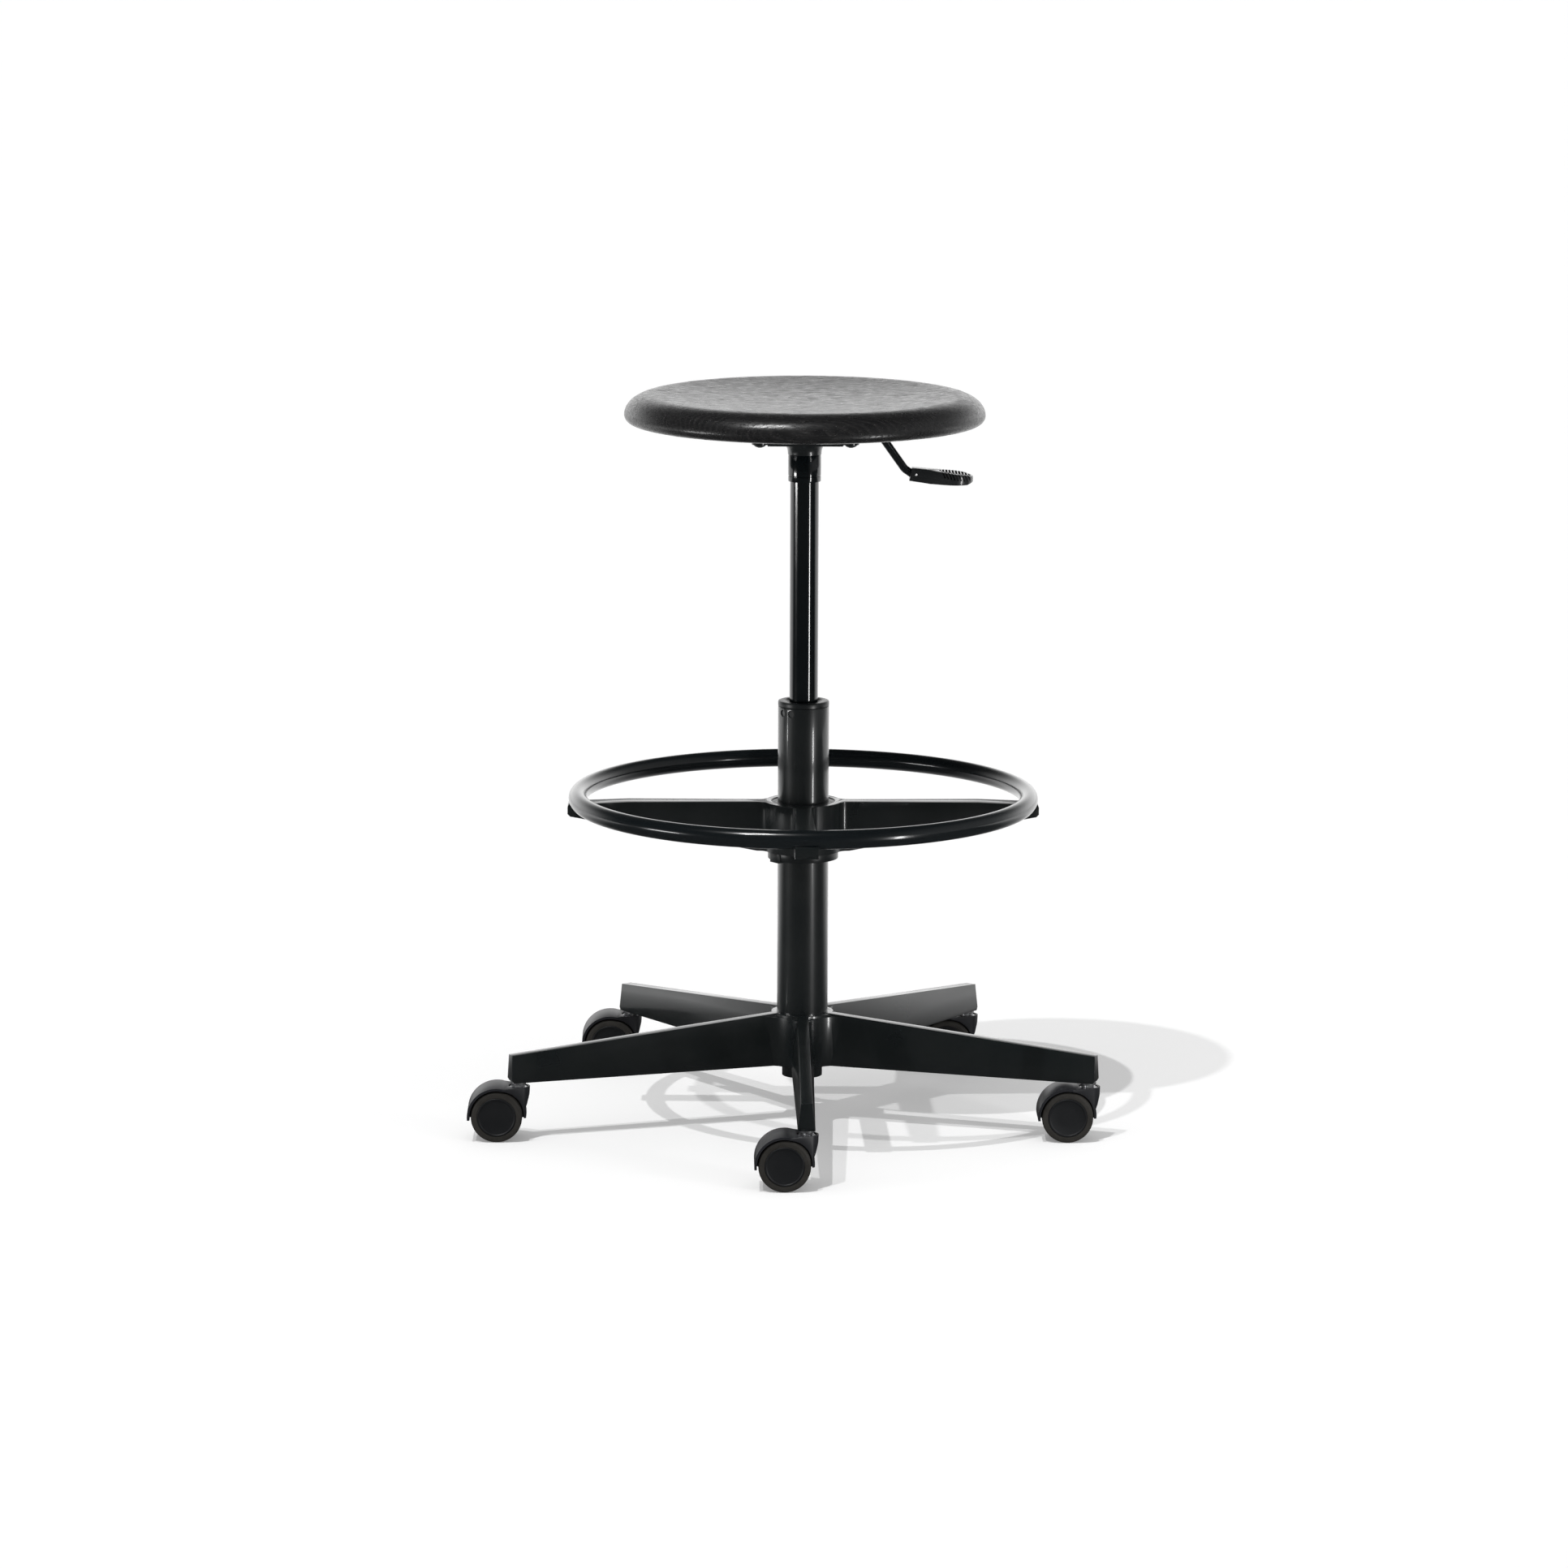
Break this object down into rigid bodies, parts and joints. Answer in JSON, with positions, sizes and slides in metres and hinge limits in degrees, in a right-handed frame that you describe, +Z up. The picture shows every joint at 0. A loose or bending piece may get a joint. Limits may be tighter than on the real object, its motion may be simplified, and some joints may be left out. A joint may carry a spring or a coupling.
{
  "type": "swivel stool",
  "caption": "Height-adjustable swivel stool with a dished round timber seat, gas lift, sliding footring and a star base on hooded twin-wheel casters.",
  "frame": {"origin": "on the floor, on the column axis", "axes": "+Z up along the column, -Y along one base arm, casters trailing towards -X, release lever on the +X side"},
  "size_m": [0.6173, 0.5706, 0.72],
  "materials": {
    "stained_oak": "satin lacquer over open grain",
    "cast_black": "satin powder coat",
    "satin_black": "satin powder coat",
    "gloss_black": "gloss",
    "gloss_black_tube": "semi-gloss",
    "black_screw": "satin",
    "black_plastic": "satin",
    "caster_plastic": "satin",
    "wheel_plastic": "matt",
    "tread": "soft matt",
    "chrome": "bright",
    "steel": "brushed",
    "brass": "plain"
  },
  "bodies": {
    "base": {"base_star": "cast_black", "column_tube": "satin_black", "guide_bush": "black_plastic", "column_cup": "steel", "bearing_race_lower": "steel", "bearing_balls": "brass", "caster1_stem": "chrome", "caster2_stem": "chrome", "caster3_stem": "chrome", "caster4_stem": "chrome", "caster5_stem": "chrome"},
    "swivel": {"piston_rod": "chrome", "piston": "steel", "bearing_race_upper": "steel", "retaining_clip": "steel"},
    "lift": {"gas_cylinder": "gloss_black", "cylinder_guide": "steel", "valve_body": "steel", "neck_sleeve": "gloss_black", "seat_plate": "cast_black", "seat": "stained_oak", "seat_screws": "black_screw", "lever_pin": "steel"},
    "release": {"valve_pin": "chrome"},
    "lever": {"lever_rod": "satin_black", "lever_paddle": "black_plastic"},
    "ring_clamp": {"footring_bush": "black_plastic"},
    "footring": {"footring_spider": "cast_black", "footring_tube": "gloss_black_tube", "footring_screws": "steel"},
    "caster1": {"caster1_housing": "caster_plastic", "caster1_axle": "steel"},
    "caster1_left": {"caster1_wheel_left": "wheel_plastic", "caster1_tyre_left": "tread"},
    "caster1_right": {"caster1_wheel_right": "wheel_plastic", "caster1_tyre_right": "tread"},
    "caster2": {"caster2_housing": "caster_plastic", "caster2_axle": "steel"},
    "caster2_left": {"caster2_wheel_left": "wheel_plastic", "caster2_tyre_left": "tread"},
    "caster2_right": {"caster2_wheel_right": "wheel_plastic", "caster2_tyre_right": "tread"},
    "caster3": {"caster3_housing": "caster_plastic", "caster3_axle": "steel"},
    "caster3_left": {"caster3_wheel_left": "wheel_plastic", "caster3_tyre_left": "tread"},
    "caster3_right": {"caster3_wheel_right": "wheel_plastic", "caster3_tyre_right": "tread"},
    "caster4": {"caster4_housing": "caster_plastic", "caster4_axle": "steel"},
    "caster4_left": {"caster4_wheel_left": "wheel_plastic", "caster4_tyre_left": "tread"},
    "caster4_right": {"caster4_wheel_right": "wheel_plastic", "caster4_tyre_right": "tread"},
    "caster5": {"caster5_housing": "caster_plastic", "caster5_axle": "steel"},
    "caster5_left": {"caster5_wheel_left": "wheel_plastic", "caster5_tyre_left": "tread"},
    "caster5_right": {"caster5_wheel_right": "wheel_plastic", "caster5_tyre_right": "tread"}
  },
  "joints": [
    {"name": "seat_swivel", "type": "hinge", "parent": "base", "child": "swivel", "pos_m": [0, 0, 0.07], "axis": [0, 0, 1], "continuous": true},
    {"name": "seat_height", "type": "slide", "parent": "swivel", "child": "lift", "axis": [0, 0, 1], "range_m": [-0.2, 0]},
    {"name": "lever_lift", "type": "hinge", "parent": "lift", "child": "lever", "pos_m": [0.018, 0, 0.683], "axis": [0, -1, 0], "range_deg": [0, 5], "stiffness_Nm_per_rad": 1.5, "springref_deg": -5.73},
    {"name": "valve_press", "type": "slide", "parent": "lift", "child": "release", "axis": [0, 0, -1], "range_m": [0, 0.0016]},
    {"name": "ring_height", "type": "slide", "parent": "base", "child": "ring_clamp", "axis": [0, 0, 1], "range_m": [-0.15, 0.085]},
    {"name": "ring_twist", "type": "hinge", "parent": "ring_clamp", "child": "footring", "pos_m": [0, 0, 0.295], "axis": [0, 0, 1], "range_deg": [-30, 0]},
    {"name": "caster1_swivel", "type": "hinge", "parent": "base", "child": "caster1", "pos_m": [0, -0.2924, 0.05], "axis": [0, 0, 1], "continuous": true},
    {"name": "caster1_left_roll", "type": "hinge", "parent": "caster1", "child": "caster1_left", "pos_m": [-0.0208, -0.2924, 0.025], "axis": [0, 1, 0], "continuous": true},
    {"name": "caster1_right_roll", "type": "hinge", "parent": "caster1", "child": "caster1_right", "pos_m": [-0.0208, -0.2924, 0.025], "axis": [0, 1, 0], "continuous": true},
    {"name": "caster2_swivel", "type": "hinge", "parent": "base", "child": "caster2", "pos_m": [0.27809, -0.09036, 0.05], "axis": [0, 0, 1], "continuous": true},
    {"name": "caster2_left_roll", "type": "hinge", "parent": "caster2", "child": "caster2_left", "pos_m": [0.25729, -0.09036, 0.025], "axis": [0, 1, 0], "continuous": true},
    {"name": "caster2_right_roll", "type": "hinge", "parent": "caster2", "child": "caster2_right", "pos_m": [0.25729, -0.09036, 0.025], "axis": [0, 1, 0], "continuous": true},
    {"name": "caster3_swivel", "type": "hinge", "parent": "base", "child": "caster3", "pos_m": [0.17187, 0.23656, 0.05], "axis": [0, 0, 1], "continuous": true},
    {"name": "caster3_left_roll", "type": "hinge", "parent": "caster3", "child": "caster3_left", "pos_m": [0.15107, 0.23656, 0.025], "axis": [0, 1, 0], "continuous": true},
    {"name": "caster3_right_roll", "type": "hinge", "parent": "caster3", "child": "caster3_right", "pos_m": [0.15107, 0.23656, 0.025], "axis": [0, 1, 0], "continuous": true},
    {"name": "caster4_swivel", "type": "hinge", "parent": "base", "child": "caster4", "pos_m": [-0.17187, 0.23656, 0.05], "axis": [0, 0, 1], "continuous": true},
    {"name": "caster4_left_roll", "type": "hinge", "parent": "caster4", "child": "caster4_left", "pos_m": [-0.19267, 0.23656, 0.025], "axis": [0, 1, 0], "continuous": true},
    {"name": "caster4_right_roll", "type": "hinge", "parent": "caster4", "child": "caster4_right", "pos_m": [-0.19267, 0.23656, 0.025], "axis": [0, 1, 0], "continuous": true},
    {"name": "caster5_swivel", "type": "hinge", "parent": "base", "child": "caster5", "pos_m": [-0.27809, -0.09036, 0.05], "axis": [0, 0, 1], "continuous": true},
    {"name": "caster5_left_roll", "type": "hinge", "parent": "caster5", "child": "caster5_left", "pos_m": [-0.29889, -0.09036, 0.025], "axis": [0, 1, 0], "continuous": true},
    {"name": "caster5_right_roll", "type": "hinge", "parent": "caster5", "child": "caster5_right", "pos_m": [-0.29889, -0.09036, 0.025], "axis": [0, 1, 0], "continuous": true}
  ],
  "couplings": [
    {"joint": "valve_press", "follows": "lever_lift", "m_per_rad": 0.018}
  ]
}
